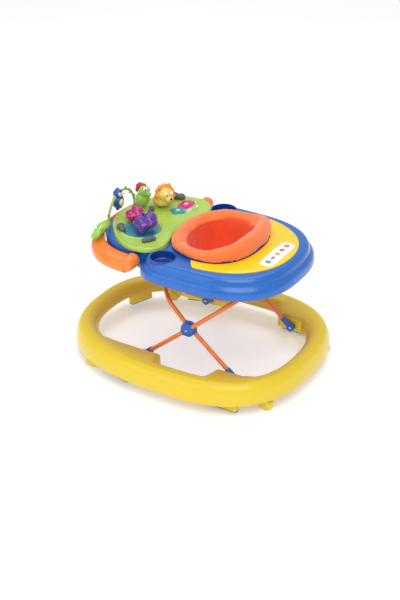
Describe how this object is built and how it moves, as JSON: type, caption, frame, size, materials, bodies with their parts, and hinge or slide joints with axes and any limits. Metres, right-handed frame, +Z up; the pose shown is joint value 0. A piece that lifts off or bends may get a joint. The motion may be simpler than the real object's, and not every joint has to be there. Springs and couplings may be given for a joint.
{
  "type": "baby walker",
  "caption": "Folding baby walker: ring base on swivel casters, scissor leg frames, padded fabric seat in a tray with cup recesses, and a toy panel with press and rocking animals.",
  "frame": {"origin": "on the floor, at the middle of the base ring's length and width", "axes": "+Z up, the child faces -Y (toy panel at -Y, seat back at +Y), +X to the child's left side"},
  "size_m": [0.6208, 0.7487, 0.4946],
  "materials": {
    "base_yellow": "smooth glossy moulded plastic",
    "grip_rubber": "matt rubber",
    "pin_steel": "brushed steel",
    "wheel_yellow": "satin moulded plastic",
    "frame_orange": "glossy powder coat",
    "hub_blue": "satin moulded plastic",
    "tray_blue": "smooth glossy moulded plastic",
    "cup_blue": "smooth moulded plastic",
    "seat_orange": "padded woven fabric",
    "sling_red": "woven fabric",
    "ring_white": "satin moulded plastic",
    "latch_grey": "satin moulded plastic",
    "panel_yellow": "smooth moulded plastic",
    "plate_white": "glossy label",
    "label_colours": "printed shapes in several colours",
    "toy_green": "glossy moulded plastic",
    "pond_teal": "glossy printed plastic",
    "rock_grey": "satin moulded plastic",
    "hippo_purple": "glossy translucent plastic",
    "hippo_magenta": "glossy translucent plastic",
    "key_teal": "glossy plastic",
    "key_magenta": "glossy plastic",
    "parrot_green": "glossy plastic",
    "crest_red": "glossy plastic",
    "lion_yellow": "glossy plastic",
    "mane_orange": "glossy plastic",
    "vine_green": "satin plastic",
    "bird_blue": "glossy plastic",
    "handle_orange": "smooth glossy moulded plastic",
    "board_green": "circuit board",
    "cell_metal": "battery cans"
  },
  "bodies": {
    "base": {"base_ring": "base_yellow", "front_slide_guides": "base_yellow", "rear_pivot_bosses": "base_yellow", "caster_sockets": "base_yellow", "stop_pads": "base_yellow", "grip_strips": "grip_rubber", "leg_pivot_pins": "pin_steel"},
    "rear_leg": {"rear_leg_frame": "frame_orange", "rear_leg_caps": "hub_blue", "hub_inner_discs": "hub_blue"},
    "front_leg": {"front_leg_frame": "frame_orange", "front_leg_caps": "hub_blue", "leg_slide_pins": "pin_steel", "hub_outer_discs": "hub_blue", "hub_rivets": "pin_steel"},
    "tray": {"tray_shell": "tray_blue", "leg_bar_mounts": "tray_blue", "latch_guides": "tray_blue", "cup_inserts": "cup_blue", "seat_ring": "ring_white", "seat_rim_pad": "seat_orange", "seat_sling": "sling_red", "rear_panel": "panel_yellow", "name_plate": "plate_white", "plate_shapes": "label_colours", "toy_panel_cover": "toy_green", "toy_panel_base": "toy_green", "battery_door": "toy_green", "batteries": "cell_metal", "circuit_board": "board_green", "speaker": "latch_grey", "pond_disc": "pond_teal", "rocks": "rock_grey", "vine_arch": "vine_green", "crocodile_head": "toy_green", "handle_pivots": "tray_blue"},
    "left_latch": {"fold_latch_left": "latch_grey"},
    "right_latch": {"fold_latch_right": "latch_grey"},
    "handle": {"front_handle": "handle_orange"},
    "large_hippo": {"hippo_button_large": "hippo_purple"},
    "small_hippo": {"hippo_button_small": "hippo_magenta"},
    "paw_button": {"paw_key": "key_teal"},
    "flower_button": {"flower_key": "key_magenta"},
    "parrot": {"parrot_body": "parrot_green", "parrot_crest": "crest_red"},
    "lion": {"lion_body": "lion_yellow", "lion_mane": "mane_orange"},
    "bird_spinner": {"bird": "bird_blue"},
    "caster_front_left": {"caster_fork_front_left": "base_yellow", "caster_axle_front_left": "pin_steel"},
    "wheel_front_left": {"caster_wheel_front_left": "wheel_yellow"},
    "caster_front_right": {"caster_fork_front_right": "base_yellow", "caster_axle_front_right": "pin_steel"},
    "wheel_front_right": {"caster_wheel_front_right": "wheel_yellow"},
    "caster_rear_left": {"caster_fork_rear_left": "base_yellow", "caster_axle_rear_left": "pin_steel"},
    "wheel_rear_left": {"caster_wheel_rear_left": "wheel_yellow"},
    "caster_rear_right": {"caster_fork_rear_right": "base_yellow", "caster_axle_rear_right": "pin_steel"},
    "wheel_rear_right": {"caster_wheel_rear_right": "wheel_yellow"}
  },
  "joints": [
    {"name": "fold", "type": "hinge", "parent": "base", "child": "rear_leg", "pos_m": [0, 0.215, 0.062], "axis": [1, 0, 0], "range_deg": [0, 27.84]},
    {"name": "hub_pivot", "type": "hinge", "parent": "rear_leg", "child": "front_leg", "pos_m": [0, 0.06397, 0.18801], "axis": [1, 0, 0], "range_deg": [-55.68, 0]},
    {"name": "tray_pivot", "type": "hinge", "parent": "front_leg", "child": "tray", "pos_m": [0, 0.24571, 0.33966], "axis": [1, 0, 0], "range_deg": [0, 27.84]},
    {"name": "handle_hinge", "type": "hinge", "parent": "tray", "child": "handle", "pos_m": [0, -0.11, 0.377], "axis": [1, 0, 0], "range_deg": [0, 20]},
    {"name": "left_latch_slide", "type": "slide", "parent": "tray", "child": "left_latch", "axis": [1, 0, 0], "range_m": [0, 0.008], "stiffness_N_per_m": 250},
    {"name": "right_latch_slide", "type": "slide", "parent": "tray", "child": "right_latch", "axis": [-1, 0, 0], "range_m": [0, 0.008], "stiffness_N_per_m": 250},
    {"name": "large_hippo_press", "type": "slide", "parent": "tray", "child": "large_hippo", "axis": [0, 0, -1], "range_m": [0, 0.002], "stiffness_N_per_m": 1500, "springref_m": -0.001},
    {"name": "small_hippo_press", "type": "slide", "parent": "tray", "child": "small_hippo", "axis": [0, 0, -1], "range_m": [0, 0.002], "stiffness_N_per_m": 1000, "springref_m": -0.001},
    {"name": "paw_press", "type": "slide", "parent": "tray", "child": "paw_button", "axis": [0, 0, -1], "range_m": [0, 0.002], "stiffness_N_per_m": 400, "springref_m": -0.001},
    {"name": "flower_press", "type": "slide", "parent": "tray", "child": "flower_button", "axis": [0, 0, -1], "range_m": [0, 0.002], "stiffness_N_per_m": 400, "springref_m": -0.001},
    {"name": "parrot_rock", "type": "hinge", "parent": "tray", "child": "parrot", "pos_m": [-0.048, -0.228, 0.4015], "axis": [1, 0, 0], "range_deg": [-6, 6], "stiffness_Nm_per_rad": 0.25},
    {"name": "lion_rock", "type": "hinge", "parent": "tray", "child": "lion", "pos_m": [-0.086, -0.186, 0.4015], "axis": [1, 0, 0], "range_deg": [-6, 6], "stiffness_Nm_per_rad": 0.3},
    {"name": "bird_spin", "type": "hinge", "parent": "tray", "child": "bird_spinner", "pos_m": [0.04012, -0.257, 0.48162], "axis": [-0.9659, 0, 0.2588], "continuous": true},
    {"name": "swivel_front_left", "type": "hinge", "parent": "base", "child": "caster_front_left", "pos_m": [-0.232, -0.222, 0.03], "axis": [0, 0, 1], "continuous": true},
    {"name": "roll_front_left", "type": "hinge", "parent": "caster_front_left", "child": "wheel_front_left", "pos_m": [-0.232, -0.234, 0.0165], "axis": [1, 0, 0], "continuous": true},
    {"name": "swivel_front_right", "type": "hinge", "parent": "base", "child": "caster_front_right", "pos_m": [0.232, -0.222, 0.03], "axis": [0, 0, 1], "continuous": true},
    {"name": "roll_front_right", "type": "hinge", "parent": "caster_front_right", "child": "wheel_front_right", "pos_m": [0.232, -0.234, 0.0165], "axis": [1, 0, 0], "continuous": true},
    {"name": "swivel_rear_left", "type": "hinge", "parent": "base", "child": "caster_rear_left", "pos_m": [-0.18, 0.308, 0.03], "axis": [0, 0, 1], "continuous": true},
    {"name": "roll_rear_left", "type": "hinge", "parent": "caster_rear_left", "child": "wheel_rear_left", "pos_m": [-0.18, 0.32, 0.0165], "axis": [1, 0, 0], "continuous": true},
    {"name": "swivel_rear_right", "type": "hinge", "parent": "base", "child": "caster_rear_right", "pos_m": [0.18, 0.308, 0.03], "axis": [0, 0, 1], "continuous": true},
    {"name": "roll_rear_right", "type": "hinge", "parent": "caster_rear_right", "child": "wheel_rear_right", "pos_m": [0.18, 0.32, 0.0165], "axis": [1, 0, 0], "continuous": true}
  ],
  "couplings": [
    {"joint": "hub_pivot", "follows": "fold", "ratio": -2},
    {"joint": "tray_pivot", "follows": "fold", "ratio": 1}
  ]
}
